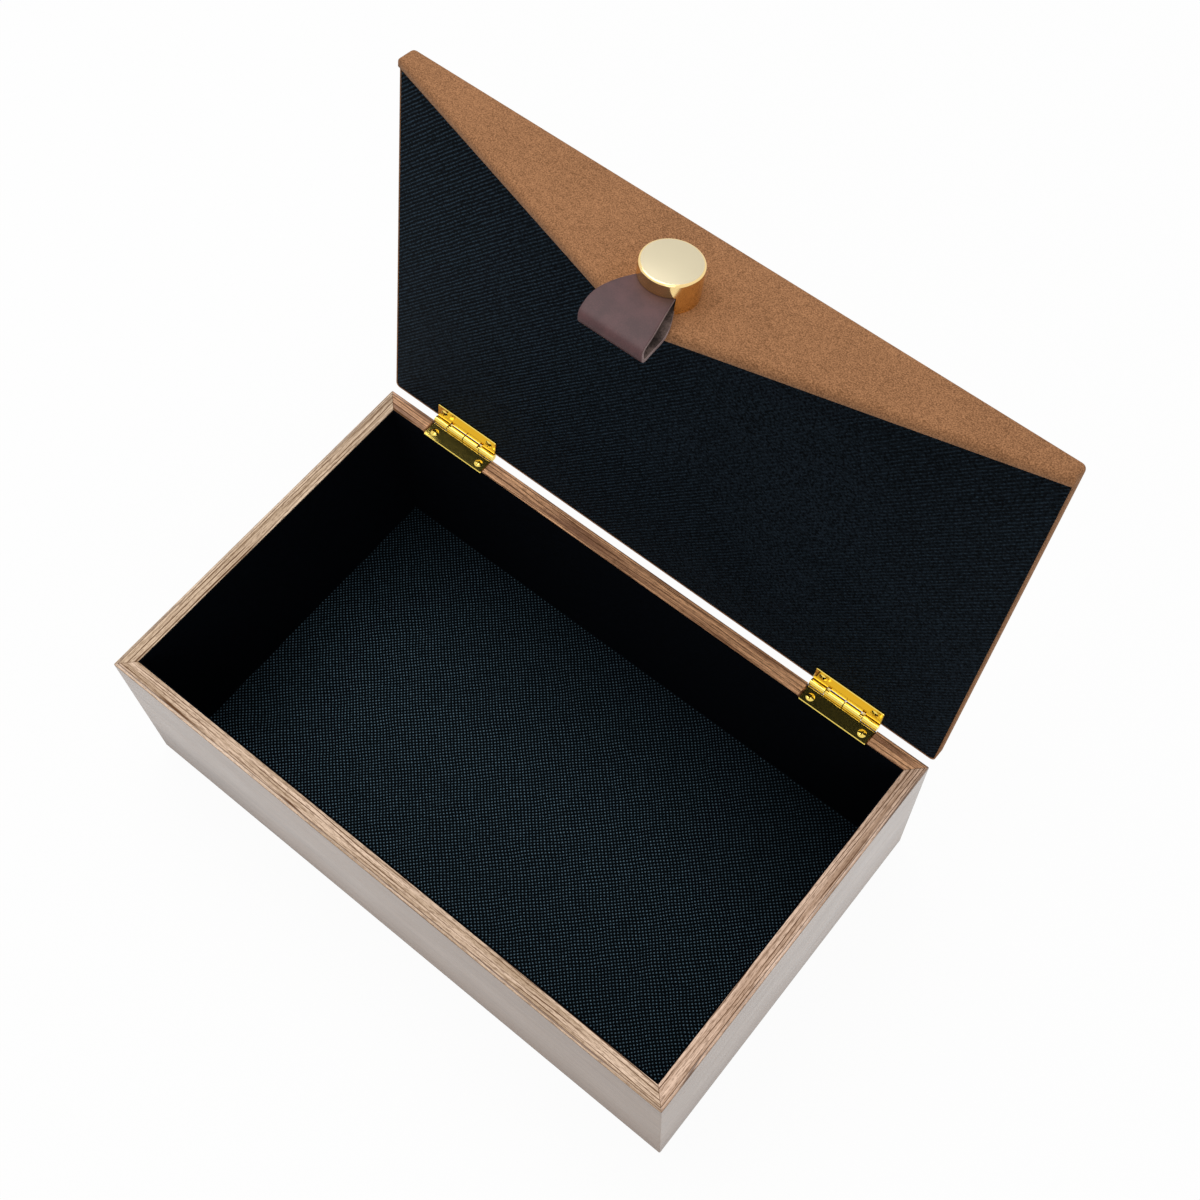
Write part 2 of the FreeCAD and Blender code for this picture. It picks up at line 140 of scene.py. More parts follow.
def long_grain(tree, place, light, dark):
    """Walnut with its grain along X: its colour, and its height from 0 in the pores to 1."""
    tone = rise(tree, mottle(tree, place, (45, 1.6, 1.6), 3.0), 0.34, 0.66)
    colour = mix_colours(tree, tone, dark, light)
    _, across, up = shade(tree, "ShaderNodeSeparateXYZ", {"Vector": place}).outputs
    drift = mottle(tree, place, (110, 7.0, 7.0), 2.0)
    wander = calc(tree, "MULTIPLY", drift, line_wander)
    growth = calc(tree, "MULTIPLY_ADD", calc(tree, "ADD", across, up), lines_per_mm, wander)
    ring = calc(tree, "PINGPONG", growth, 0.5)
    faded = rise(tree, mottle(tree, place, (30, 1.4, 1.4), 1.0), 0.42, 0.62)
    off_line = calc(tree, "MAXIMUM", rise(tree, ring, 0.03, 0.19), calc(tree, "MULTIPLY", faded, 0.85))
    fibres = rise(tree, mottle(tree, place, (3.0, 0.32, 0.32), 2.0), 0.36, 0.52)
    height = calc(tree, "MULTIPLY", off_line, calc(tree, "MULTIPLY_ADD", fibres, 0.56, 0.44))
    return mix_colours(tree, height, walnut_line, colour), height


def seam_shade(tree, place, half_run, half_face, joint):
    """1 away from the glue line along a wall and the mitres at its ends, 0 on them."""
    parts = shade(tree, "ShaderNodeSeparateXYZ", {"Vector": place}).outputs
    along, across = calc(tree, "ABSOLUTE", parts[0]), calc(tree, "ABSOLUTE", parts[1])
    from_joint = calc(tree, "ABSOLUTE", calc(tree, "SUBTRACT", across, joint))
    mitre = calc(tree, "SUBTRACT", calc(tree, "SUBTRACT", along, across), half_run - half_face)
    from_mitre = calc(tree, "ABSOLUTE", mitre)
    clear_joint, clear_mitre = rise(tree, from_joint, 0.03, 0.22), rise(tree, from_mitre, 0.02, 0.2)
    return calc(tree, "MULTIPLY", clear_joint, clear_mitre)


half_length, half_depth = cad_high.x / mm, -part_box("front_facing")[0].y / mm
board_face = -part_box("front_wall")[0].y / mm
facing_thickness = half_depth - board_face
wall_runs = {
    "front": (0.0, half_length, half_depth),
    "back": (0.0, half_length, half_depth),
    "left": (math.pi / 2, half_depth, half_length),
    "right": (math.pi / 2, half_depth, half_length),
}
for side, (turn, half_run, half_face) in wall_runs.items():
    board, tree, shader = start_material(f"walnut_{side}_board")
    place = place_on_piece(tree, (0, 0, turn))
    grain, height = long_grain(tree, place, *walnut_and_painted_light_tones[side])
    seam = seam_shade(tree, place, half_run, half_face, half_face - facing_thickness)
    tree.links.new(mix_colours(tree, seam, walnut_line, grain), shader.inputs["Base Color"])
    lacquered = calc(tree, "MULTIPLY", height, seam)
    relief(tree, shader, lacquered, 0.05 * mm)
    tree.links.new(calc(tree, "MULTIPLY", lacquered, rim_coat), shader.inputs["Coat Weight"])
    tree.links.new(calc(tree, "MULTIPLY", lacquered, rim_gloss), shader.inputs["Specular IOR Level"])
    shader.inputs["Roughness"].default_value = 0.5
    shader.inputs["Coat Roughness"].default_value = 0.35
    nodes[f"{side}_wall"].material_slots[0].material = board

# Facings: thin veneered strips glued round the outside of the walls, mitred at the corners with eased
# edges. Their faces are lacquered walnut veneer, streaked along the grain; their pale tone is partly painted
# reflection. Each face is also painted lighter at one end and darker towards the foot. Their top edges are
# part of the rim.

# The pale veneer colour is partly the wood's own and partly painted reflection of the white surroundings.
veneer_pale_and_reflection = (0.33, 0.210, 0.132, 1)
veneer_streak = (0.12, 0.067, 0.040, 1)
# Painted shade: darker veneer colours used towards the foot, where less reflection falls on the face.
shaded_foot_pale = (0.27, 0.173, 0.112, 1)
shaded_foot_streak = (0.10, 0.058, 0.036, 1)
veneer_edge = (0.13, 0.066, 0.038, 1)
streak_height = 45
painted_sheen_below_foot = 12
foot_band_spread = 2.0
# Painted light: for each wall, the share of painted sheen at its near end, at its far end and at the foot.
painted_sheen_shares = {
    "front": (0.95, 0.50, 0.24),
    "back": (1.0, 0.7, 0.5),
    "left": (1.0, 0.7, 0.5),
    "right": (1.1, 0.75, 0.56),
}
for side, (turn, half_run, half_face) in wall_runs.items():
    facing_low, facing_high = (corner.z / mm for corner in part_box(f"{side}_facing"))
    facing, tree, shader = start_material(f"walnut_{side}_facing")
    place = place_on_piece(tree, (0, 0, turn))
    along, _, height_up = shade(tree, "ShaderNodeSeparateXYZ", {"Vector": place}).outputs
    broad = rise(tree, mottle(tree, place, (120, 9, 9), 3.0), 0.42, 0.72)
    fine = rise(tree, mottle(tree, place, (60, 1.1, 1.1), 2.0), 0.45, 0.7)
    # The grain streaks are painted stronger towards the foot: painted shade where less reflection lies on
    # them.
    low_down = calc(tree, "SUBTRACT", 1.0, rise(tree, height_up, facing_low, facing_low + streak_height))
    streaks = calc(tree, "MULTIPLY_ADD", fine, 0.35, calc(tree, "MULTIPLY", broad, 0.5))
    streaks = calc(tree, "MULTIPLY", streaks, calc(tree, "MULTIPLY_ADD", low_down, 0.5, 0.5))
    veneer = mix_colours(tree, streaks, veneer_pale_and_reflection, veneer_streak)
    # Painted light: each face is painted lighter at one end than the other, in soft patches, and darker
    # towards the foot. The same factor also sets the lacquer's coat and gloss.
    near_share, far_share, foot_painted_share = painted_sheen_shares[side]
    painted_sheen_patches = calc(tree, "MULTIPLY_ADD", mottle(tree, place, (30, 3.5, 3.5), 3.0), 0.8, 0.6)
    far_along = rise(tree, along, -half_run, half_run)
    painted_sheen = calc(tree, "MULTIPLY_ADD", far_along, far_share - near_share, near_share)
    painted_sheen = calc(tree, "MULTIPLY", painted_sheen, painted_sheen_patches)
    up_face = rise(tree, height_up, facing_low - painted_sheen_below_foot, facing_low + streak_height)
    lacquer_and_painted_light = calc(tree, "MULTIPLY_ADD", up_face, 1 - foot_painted_share, foot_painted_share)
    lacquer_and_painted_light = calc(tree, "MULTIPLY", lacquer_and_painted_light, painted_sheen)
    veneer = mix_colours(tree, lacquer_and_painted_light, mix_colours(tree, streaks, shaded_foot_pale, shaded_foot_streak), veneer)
    grain, height = long_grain(tree, place, *walnut_and_painted_light_tones[side])
    veneer = mix_colours(tree, calc(tree, "MULTIPLY_ADD", height, 0.6, 0.4), veneer_streak, veneer)
    # A dark band of ragged height runs along the foot of each face.
    foot_band_ragged = mottle(tree, place, (14, 1.5, 1.5), 2.0)
    dark_band_up_to = calc(tree, "MULTIPLY_ADD", foot_band_ragged, foot_band_spread, facing_low + 0.6)
    above_foot = rise(tree, height_up, facing_low + 0.2, dark_band_up_to)
    below_rim = calc(tree, "SUBTRACT", 1.0, rise(tree, height_up, facing_high - 0.75, facing_high - 0.35))
    veneer = mix_colours(tree, calc(tree, "MULTIPLY", above_foot, below_rim), veneer_edge, veneer)
    seam = seam_shade(tree, place, half_run, half_face, half_face - facing_thickness)
    rim = mix_colours(tree, seam, walnut_line, grain)
    on_rim = rise(tree, height_up, facing_high - 0.3, facing_high - 0.15)
    tree.links.new(mix_colours(tree, on_rim, veneer, rim), shader.inputs["Base Color"])
    relief(tree, shader, height, 0.02 * mm)
    tree.links.new(calc(tree, "MULTIPLY_ADD", lacquer_and_painted_light, 0.3, 0.2), shader.inputs["Specular IOR Level"])
    tree.links.new(calc(tree, "MULTIPLY", lacquer_and_painted_light, 0.62), shader.inputs["Coat Weight"])
    shader.inputs["Roughness"].default_value = 0.45
    shader.inputs["Coat Roughness"].default_value = 0.18
    nodes[f"{side}_facing"].material_slots[0].material = facing

# Base panel and lid boards: thin pressed fibreboard, cut to size and glued in. The base sits in a step
# round the inside of the walls. The lid's two boards are hidden under the suede.

fibre_light = (0.36, 0.25, 0.16, 1)
fibre_dark = (0.22, 0.14, 0.085, 1)
fibreboard, tree, shader = start_material("pressed_fibreboard")
place = place_on_piece(tree)
clumps = mottle(tree, place, (3.0, 3.0, 3.0), 3.0)
hairs = mottle(tree, place, (0.5, 0.25, 0.4), 2.0)
fleck = rise(tree, calc(tree, "MULTIPLY_ADD", hairs, 0.6, calc(tree, "MULTIPLY", clumps, 0.4)), 0.35, 0.65)
tree.links.new(mix_colours(tree, fleck, fibre_dark, fibre_light), shader.inputs["Base Color"])
relief(tree, shader, fleck, 0.04 * mm)
shader.inputs["Roughness"].default_value = 0.75
for node in ("base_panel", "lid_board", "flap_board"):
    nodes[node].material_slots[0].material = fibreboard

# Wall linings: black felt glued to the inside of each wall, from the floor up to just under the rim.
# The back piece is cut away where the hinge leaves are let in.

felt_black = (0.0004, 0.0007, 0.0013, 1)
felt_nap = (0.0018, 0.0030, 0.0056, 1)
felt_edge_round = 0.22 * mm
mortise_gap = 0.4 * mm
same_place = 0.01 * mm


def is_at(value, wanted):
    return abs(value - wanted) < same_place


def pull_out(shape, faces, move):
    """Extrudes the faces and moves the new ones."""
    grown = bmesh.ops.extrude_face_region(shape, geom=faces)["geom"]
    bmesh.ops.translate(shape, vec=move, verts=[g for g in grown if isinstance(g, bmesh.types.BMVert)])


def thicken(outline, depth):
    """A flat sheet with that outline, given its thickness in one direction."""
    sheet = bmesh.new()
    face = sheet.faces.new([sheet.verts.new(point) for point in outline])
    pull_out(sheet, [face], depth)
    bmesh.ops.recalc_face_normals(sheet, faces=sheet.faces)
    return sheet


def ease(shape, edges, width, segments=3):
    bmesh.ops.bevel(
        shape, geom=edges, offset=width, segments=segments, profile=0.5, affect="EDGES", material=-1
    )


def show(shape, name, material, body, smooth_angle=40):
    """Makes a finished shape a piece of the object that moves with one body."""
    mesh = bpy.data.meshes.new(name)
    shape.to_mesh(mesh)
    shape.free()
    mesh.shade_smooth()
    mesh.set_sharp_from_angle(angle=math.radians(smooth_angle))
    mesh.materials.append(material)
    piece = bpy.data.objects.new(name, mesh)
    bpy.context.scene.collection.objects.link(piece)
    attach(piece, body)
    return piece


felt, tree, shader = start_material("black_felt")
place = place_on_piece(tree)
nap = mottle(tree, place, (0.3, 0.3, 0.3), 3.0)
tufts = mottle(tree, place, (2.5, 2.5, 2.5), 2.0)
lie = rise(tree, calc(tree, "MULTIPLY_ADD", nap, 0.7, calc(tree, "MULTIPLY", tufts, 0.3)), 0.35, 0.7)
tree.links.new(mix_colours(tree, lie, felt_black, felt_nap), shader.inputs["Base Color"])
relief(tree, shader, nap, 0.12 * mm)
shader.inputs["Roughness"].default_value = 1.0
shader.inputs["Specular IOR Level"].default_value = 0.04

mortises = []
for hinge_side in ("left", "right"):
    leaf_low, leaf_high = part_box(f"{hinge_side}_hinge_box_leaf")
    mortises.append((leaf_low.x - mortise_gap, leaf_high.x + mortise_gap, leaf_low.z))
for side in wall_runs:
    low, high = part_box(f"{side}_lining")
    lengthwise = side in ("front", "back")
    run_axis, face_axis = (0, 1) if lengthwise else (1, 0)
    outer, inner = (high, low) if high[face_axis] > 0 else (low, high)
    outer, inner = outer[face_axis], inner[face_axis]
    half_run = high[run_axis]
    top_line = [(half_run, high.z), (-half_run, high.z)]
    if side == "back":
        top_line = [(half_run, high.z)]
        for start, end, bottom in reversed(mortises):
            top_line += [(end, high.z), (end, bottom), (start, bottom), (start, high.z)]
        top_line.append((-half_run, high.z))
    outline = []
    for run, up in [(-half_run, low.z), (half_run, low.z), *top_line]:
        outline.append((run, outer, up) if lengthwise else (outer, run, up))
    depth = (0, inner - outer, 0) if lengthwise else (inner - outer, 0, 0)
    lining = thicken(outline, depth)
    mitred = [v for v in lining.verts if is_at(v.co[face_axis], inner)]
    mitred = [v for v in mitred if is_at(abs(v.co[run_axis]), half_run)]
    mitre_share = (half_run - abs(outer - inner)) / half_run
    bmesh.ops.scale(lining, vec=(mitre_share, 1, 1) if lengthwise else (1, mitre_share, 1), verts=mitred)
    rim_edges = [e for e in lining.edges if all(is_at(v.co.z, high.z) for v in e.verts)]
    rim_edges = [e for e in rim_edges if is_at(*(v.co[face_axis] for v in e.verts))]
    ease(lining, rim_edges, felt_edge_round)
    piece = show(lining, f"{side}_felt", felt, "box")
    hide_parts(f"{side}_lining")

# Floor lining: a near-black woven fabric laid on the base panel. Its weave is a fine grid of raised
# grey-blue dots, set at 45 degrees to the walls.

floor_black = (0.0014, 0.0026, 0.0038, 1)
floor_dot = (0.138, 0.236, 0.305, 1)
dot_pitch = 1.315
weave_drift = 1.7
floor_edge_round = 0.25 * mm

dotted, tree, shader = start_material("dotted_fabric")
place = place_on_piece(tree, (0, 0, math.pi / 4))
loose = mottle(tree, place, (16.0, 16.0, 16.0), 1.0)
weave = shade(tree, "ShaderNodeSeparateXYZ", {"Vector": place}).outputs
waves = []
for axis in (0, 1):
    drift = calc(tree, "MULTIPLY_ADD", loose, weave_drift, weave[axis])
    waves.append(calc(tree, "COSINE", calc(tree, "MULTIPLY", drift, math.tau / dot_pitch)))
dots = rise(tree, calc(tree, "ADD", waves[0], waves[1]), 0.4, 1.95)
yarn = mottle(tree, place, (0.9, 0.9, 0.9), 2.0)
lit = calc(tree, "MULTIPLY", dots, calc(tree, "MULTIPLY_ADD", rise(tree, yarn, 0.3, 0.7), 0.6, 0.45))
# Painted light: the dots are painted brighter towards the front of the box, as sheen on the fabric.
towards_back = shade(tree, "ShaderNodeSeparateXYZ", {"Vector": place_on_piece(tree)}).outputs[1]
painted_light_to_front = rise(tree, calc(tree, "MULTIPLY", towards_back, -1.0), -70, 10)
lit = calc(tree, "MULTIPLY", lit, calc(tree, "MULTIPLY_ADD", painted_light_to_front, 0.48, 0.52))
tree.links.new(mix_colours(tree, lit, floor_black, floor_dot), shader.inputs["Base Color"])
relief(tree, shader, dots, 0.12 * mm)
shader.inputs["Roughness"].default_value = 0.7
shader.inputs["Specular IOR Level"].default_value = 0.03

low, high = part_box("floor_lining")
corners = [(low.x, low.y), (high.x, low.y), (high.x, high.y), (low.x, high.y)]
floor_cloth = thicken([(x, y, low.z) for x, y in corners], (0, 0, high.z - low.z))
upper = [e for e in floor_cloth.edges if all(is_at(v.co.z, high.z) for v in e.verts)]
ease(floor_cloth, upper, floor_edge_round)
floor_piece = show(floor_cloth, "floor_fabric", dotted, "box")
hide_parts("floor_lining")

# Hinges: two small butt hinges of polished gold-coloured brass, each with a loose pin and four dome-headed
# screws. One leaf is let into the back rim and the other lies on the lid's lining.

brass_colour = (0.86, 0.64, 0.14, 1)
brass_painted_shade = (0.20, 0.11, 0.02, 1)
brass, tree, shader = start_material("polished_brass")
place = place_on_piece(tree)
smears = mottle(tree, place, (5.0, 2.0, 2.0), 3.0)
scratches = mottle(tree, place, (3.0, 0.08, 0.08), 1.0)
tree.links.new(calc(tree, "MULTIPLY_ADD", smears, 0.10, 0.03), shader.inputs["Roughness"])
relief(tree, shader, scratches, 0.004 * mm)
# Painted shade: an occlusion node darkens the brass in crevices and next to other parts, such as between the
# knuckles and round the screws.
unshaded_share = shade(tree, "ShaderNodeAmbientOcclusion", {"Distance": 0.9 * mm}, samples=8).outputs["AO"]
brass_with_painted_shade = mix_colours(tree, rise(tree, unshaded_share, 0.35, 0.95), brass_painted_shade, brass_colour)
tree.links.new(brass_with_painted_shade, shader.inputs["Base Color"])
shader.inputs["Metallic"].default_value = 1.0
for hinge_side in ("left", "right"):
    for node in ("box_leaf", "pin", "box_screws", "lid_leaf", "lid_screws"):
        nodes[f"{hinge_side}_hinge_{node}"].material_slots[0].material = brass

# Lid cover: camel suede glued over the lid's two boards and drawn round their edges, so that the lid and
# its triangular front flap are one soft-edged shell. Its cut edge ends at the linings.

suede_light = (0.455, 0.218, 0.101, 1)
suede_dark = (0.18, 0.080, 0.033, 1)
suede_thickness = 0.48 * mm
suede_round = 2.0 * mm
flap_drop = 41.0 * mm
flap_corner_drop = 1.0 * mm
flap_tip_round = 6.0 * mm

hinge = frame["joints"][0]
hinge_point = Matrix.Translation(hinge["pos_m"])
open_angle = math.radians(hinge["range_deg"][1])
swing_open = hinge_point @ Matrix.Rotation(-open_angle, 4, "X") @ hinge_point.inverted()


def shut_box(node):
    """A lid node's lowest and highest corners with the lid shut."""
    places = [swing_open.inverted() @ v.co for v in nodes[node].data.vertices]
    return Vector(map(min, zip(*places))), Vector(map(max, zip(*places)))


def show_on_lid(shape, name, material, smooth_angle=40):
    """Swings a shape drawn on the shut lid open, and makes it a piece of the lid."""
    bmesh.ops.transform(shape, matrix=swing_open, verts=shape.verts)
    return show(shape, name, material, "lid", smooth_angle)


def round_tip(outline, tip_height, width):
    """Rounds the corner of an outline that lies at that height."""
    tip_point = [v for v in outline.verts if is_at(v.co.z, tip_height)]
    bmesh.ops.bevel(
        outline, geom=tip_point, offset=width, segments=8, profile=0.5, affect="VERTICES", material=-1
    )


suede, tree, shader = start_material("camel_suede")
place = place_on_piece(tree)
speckle = mottle(tree, place, (0.45, 0.45, 0.45), 1.0)
clouds = mottle(tree, place, (2.2, 2.2, 2.2), 3.0)
brushed = mottle(tree, place, (22, 22, 22), 2.0)
tone = calc(tree, "MULTIPLY_ADD", speckle, 0.74, calc(tree, "MULTIPLY", clouds, 0.16))
tone = rise(tree, calc(tree, "MULTIPLY_ADD", brushed, 0.10, tone), 0.30, 0.70)
tree.links.new(mix_colours(tree, tone, suede_dark, suede_light), shader.inputs["Base Color"])
relief(tree, shader, speckle, 0.10 * mm)
shader.inputs["Roughness"].default_value = 0.95
shader.inputs["Specular IOR Level"].default_value = 0.12
shader.inputs["Sheen Weight"].default_value = 0.12
shader.inputs["Sheen Roughness"].default_value = 0.5
shader.inputs["Sheen Tint"].default_value = (1.0, 0.75, 0.55, 1)

cover_low, cover_high = shut_box("lid_cover")
lid_low = shut_box("lid_lining")[0].z
flap_inside = shut_box("flap_lining")[1].y
half_width, flap_outside, lid_back, lid_top = cover_high.x, cover_low.y, cover_high.y, cover_high.z
tip = lid_low - flap_drop
corner = lid_low - flap_corner_drop
slope = (corner - tip) / half_width
cover = bmesh.new()
outline = [(-half_width, lid_top), (-half_width, corner), (0, tip)]
outline += [(half_width, corner), (half_width, lid_top)]
cover.faces.new([cover.verts.new((x, flap_outside, z)) for x, z in outline])
round_tip(cover, tip, flap_tip_round * slope)
pull_out(cover, cover.faces[:], (0, flap_inside - flap_outside, 0))
everything = cover.verts[:] + cover.edges[:] + cover.faces[:]
bmesh.ops.bisect_plane(cover, geom=everything, plane_co=(0, 0, lid_low), plane_no=(0, 0, 1))
bmesh.ops.recalc_face_normals(cover, faces=cover.faces)
behind = [f for f in cover.faces if f.normal.y > 0.9 and f.calc_center_median().z > lid_low]
pull_out(cover, behind, (0, lid_back - flap_inside, 0))
bmesh.ops.delete(cover, geom=behind, context="FACES_ONLY")
bmesh.ops.dissolve_limit(cover, angle_limit=math.radians(1), verts=cover.verts, edges=cover.edges)
bmesh.ops.recalc_face_normals(cover, faces=cover.faces)
wrapped = []
for edge in cover.edges:
    on_top = all(is_at(v.co.z, lid_top) for v in edge.verts)
    on_front = all(is_at(v.co.y, flap_outside) for v in edge.verts)
    at_back = all(is_at(v.co.y, lid_back) for v in edge.verts) and is_at(*(v.co.x for v in edge.verts))
    if on_top or on_front or at_back:
        wrapped.append(edge)
ease(cover, wrapped, suede_round, 6)
inside = []
for face in cover.faces:
    middle = face.calc_center_median()
    under_lid = face.normal.z < -0.9 and is_at(middle.z, lid_low)
    behind_flap = face.normal.y > 0.9 and is_at(middle.y, flap_inside)
    if under_lid or behind_flap:
        inside.append(face)
bmesh.ops.delete(cover, geom=inside, context="FACES")
cover_piece = show_on_lid(cover, "suede_cover", suede)
skin = cover_piece.modifiers.new("suede_thickness", "SOLIDIFY")
skin.thickness = suede_thickness
skin.offset = -1
skin.use_even_offset = True
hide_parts("lid_cover")
lid_depth, lid_edge, flap_edge = lid_back - flap_outside, lid_top - lid_low, flap_inside - flap_outside
cut_area = 2 * half_width * (lid_depth + lid_edge + lid_top - corner) + half_width * (corner - tip)
cut_area += 2 * lid_edge * lid_depth + 2 * flap_edge * math.hypot(half_width, corner - tip)

# Lid linings: black twill glued to the underside of the lid and to the inner face of its flap.
# Its ribs run at 45 degrees, and each rib is broken into short floats of yarn.

twill_black = (0.0004, 0.0008, 0.0013, 1)
twill_rib = (0.029, 0.052, 0.076, 1)
twill_lint = (0.0145, 0.0225, 0.032, 1)
rib_pitch = 1.272
float_length = 1.7
twill_edge_round = 0.2 * mm
twill_corner_round = 1.8 * mm


def twill_material(name, turn):
    """Twill whose face lies in the turned piece's XY plane."""
    material, tree, shader = start_material(name)
    shut_place = place_on_piece(tree, (open_angle, 0, 0))
    turned = shade(tree, "ShaderNodeMapping", {"Vector": shut_place, "Rotation": turn}).outputs[0]
    diagonal = {"Vector": turned, "Rotation": (0, 0, math.pi / 4)}
    rib_place = shade(tree, "ShaderNodeMapping", diagonal).outputs[0]
    along, across, _ = shade(tree, "ShaderNodeSeparateXYZ", {"Vector": rib_place}).outputs
    slack = mottle(tree, rib_place, (9, 3, 3), 1.0)
    across = calc(tree, "MULTIPLY_ADD", slack, 0.7, across)
    rib_count = calc(tree, "DIVIDE", across, rib_pitch)
    rib = calc(tree, "COSINE", calc(tree, "MULTIPLY", rib_count, math.tau))
    rib = rise(tree, rib, -0.2, 0.95)
    step = calc(tree, "MULTIPLY", calc(tree, "ROUND", rib_count), 0.37)
    float_count = calc(tree, "ADD", calc(tree, "DIVIDE", along, float_length), step)
    floats = calc(tree, "COSINE", calc(tree, "MULTIPLY", float_count, math.tau))
    floats = calc(tree, "MULTIPLY_ADD", rise(tree, floats, -1.0, 0.4), 0.4, 0.6)
    yarn = rise(tree, mottle(tree, rib_place, (1.5, 0.6, 0.6), 2.0), 0.25, 0.75)
    raised = calc(tree, "MULTIPLY", rib, floats)
    fuzz = rise(tree, mottle(tree, rib_place, (0.9, 0.9, 0.9), 2.0), 0.3, 0.7)
    # Painted light: from left to right across the lid, the ribs are painted darker and more lint colour
    # covers them, as sheen falling off.
    left_to_right = shade(tree, "ShaderNodeSeparateXYZ", {"Vector": shut_place}).outputs[0]
    painted_sheen_fade = rise(tree, left_to_right, -110, 60)
    lit = calc(tree, "MULTIPLY", raised, calc(tree, "MULTIPLY_ADD", yarn, 0.7, 0.3))
    lit = calc(tree, "MULTIPLY", lit, calc(tree, "MULTIPLY_ADD", fuzz, 1.5, 0.35))
    lit = calc(tree, "MULTIPLY", lit, calc(tree, "MULTIPLY_ADD", painted_sheen_fade, -0.72, 1.2))
    cloth = mix_colours(tree, lit, twill_black, twill_rib)
    lint = rise(tree, mottle(tree, shut_place, (70, 70, 70), 3.0), 0.40, 0.70)
    cover = calc(tree, "MULTIPLY_ADD", painted_sheen_fade, 0.16, calc(tree, "MULTIPLY_ADD", lint, 0.36, 0.18))
    cloth = mix_colours(tree, cover, cloth, mix_colours(tree, fuzz, twill_black, twill_lint))
    tree.links.new(cloth, shader.inputs["Base Color"])
    relief(tree, shader, raised, 0.12 * mm)
    shader.inputs["Roughness"].default_value = 0.8
    shader.inputs["Specular IOR Level"].default_value = 0.05
    return material


def ease_face(shape, axis, level, width):
    """Rounds the edges of the sheet's free face."""
    free = [e for e in shape.edges if all(is_at(v.co[axis], level) for v in e.verts)]
    ease(shape, free, width, 2)


lining_low, lining_high = shut_box("lid_lining")
outline = [(lining_low.x, lining_high.y), (lining_low.x, lining_low.y)]
outline += [(lining_high.x, lining_low.y), (lining_high.x, lining_high.y)]
lid_twill = thicken([(x, y, lining_high.z) for x, y in outline], (0, 0, lining_low.z - lining_high.z))
rear_corners = [e for e in lid_twill.edges if all(is_at(v.co.y, lining_high.y) for v in e.verts)]
rear_corners = [e for e in rear_corners if is_at(e.verts[0].co.x, e.verts[1].co.x)]
ease(lid_twill, rear_corners, twill_corner_round, 5)
ease_face(lid_twill, 2, lining_low.z, twill_edge_round)
lid_material = twill_material("black_twill_lid", (0, 0, 0))
twill_piece = show_on_lid(lid_twill, "lid_twill", lid_material)
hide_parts("lid_lining")

flap_low, flap_high = shut_box("flap_lining")
margin = half_width - flap_high.x
lining_tip = tip + margin * math.hypot(1, slope)
lining_corner = lining_tip + slope * flap_high.x
outline = [(-flap_high.x, flap_high.z), (-flap_high.x, lining_corner), (0, lining_tip)]
outline += [(flap_high.x, lining_corner), (flap_high.x, flap_high.z)]
flap_twill = bmesh.new()
flap_twill.faces.new([flap_twill.verts.new((x, flap_low.y, z)) for x, z in outline])
round_tip(flap_twill, lining_tip, (flap_tip_round - margin) * slope)
pull_out(flap_twill, flap_twill.faces[:], (0, flap_high.y - flap_low.y, 0))
bmesh.ops.recalc_face_normals(flap_twill, faces=flap_twill.faces)
ease_face(flap_twill, 1, flap_high.y, twill_edge_round)
flap_material = twill_material("black_twill_flap", (math.pi / 2, 0, 0))
flap_piece = show_on_lid(flap_twill, "flap_twill", flap_material)
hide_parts("flap_lining")

# Knob: a turned metal cap plated in pale champagne gold, satin on its flat top and bright on its side, with
# a rounded edge. The side's warmer gold is partly painted reflection of the suede and leather round it. A
# steel screw through the flap holds it.

satin_champagne = (0.655, 0.575, 0.40, 1)
side_gold_and_reflection = (0.92, 0.67, 0.30, 1)
zinc_grey = (0.55, 0.55, 0.56, 1)
gold, tree, shader = start_material("champagne_gold")
knob_low, knob_high = shut_box("knob")
knob_radius = knob_high.x / mm
knob_axis = swing_open @ Vector((0, 0, (knob_low.z + knob_high.z) / 2))
knob_axis = Matrix.Rotation(open_angle, 4, "X") @ knob_axis
place = place_on_piece(tree, (open_angle, 0, 0))
across, _, up = shade(tree, "ShaderNodeSeparateXYZ", {"Vector": place}).outputs
up = calc(tree, "SUBTRACT", up, knob_axis.z / mm)
from_axis = calc(tree, "SQRT", calc(tree, "MULTIPLY_ADD", up, up, calc(tree, "MULTIPLY", across, across)))
on_side = rise(tree, from_axis, knob_radius - 0.9, knob_radius - 0.4)
haze = mottle(tree, place, (6.0, 6.0, 6.0), 2.0)
satin = calc(tree, "MULTIPLY_ADD", haze, 0.08, 0.25)
tree.links.new(calc(tree, "MULTIPLY_ADD", on_side, -0.14, satin), shader.inputs["Roughness"])
# The side's warmer gold is partly the plating's own and partly painted reflection of the suede and leather.
tree.links.new(mix_colours(tree, on_side, satin_champagne, side_gold_and_reflection), shader.inputs["Base Color"])
relief(tree, shader, mottle(tree, place, (0.15, 0.15, 0.15), 1.0), 0.002 * mm)
shader.inputs["Metallic"].default_value = 1.0
nodes["knob"].material_slots[0].material = gold

steel, tree, shader = start_material("zinc_steel")
place = place_on_piece(tree)
dulled = mottle(tree, place, (1, 1, 1))
tree.links.new(calc(tree, "MULTIPLY_ADD", dulled, 0.3, 0.25), shader.inputs["Roughness"])
shader.inputs["Base Color"].default_value = zinc_grey
shader.inputs["Metallic"].default_value = 1.0
nodes["knob_screw"].material_slots[0].material = steel

# Pull tab: a strap of smooth brown leather folded into a loop, with both ends hung on the knob's post.
# It widens towards the fold. Its flesh side is dark and fuzzy, and its cut edges are paler.

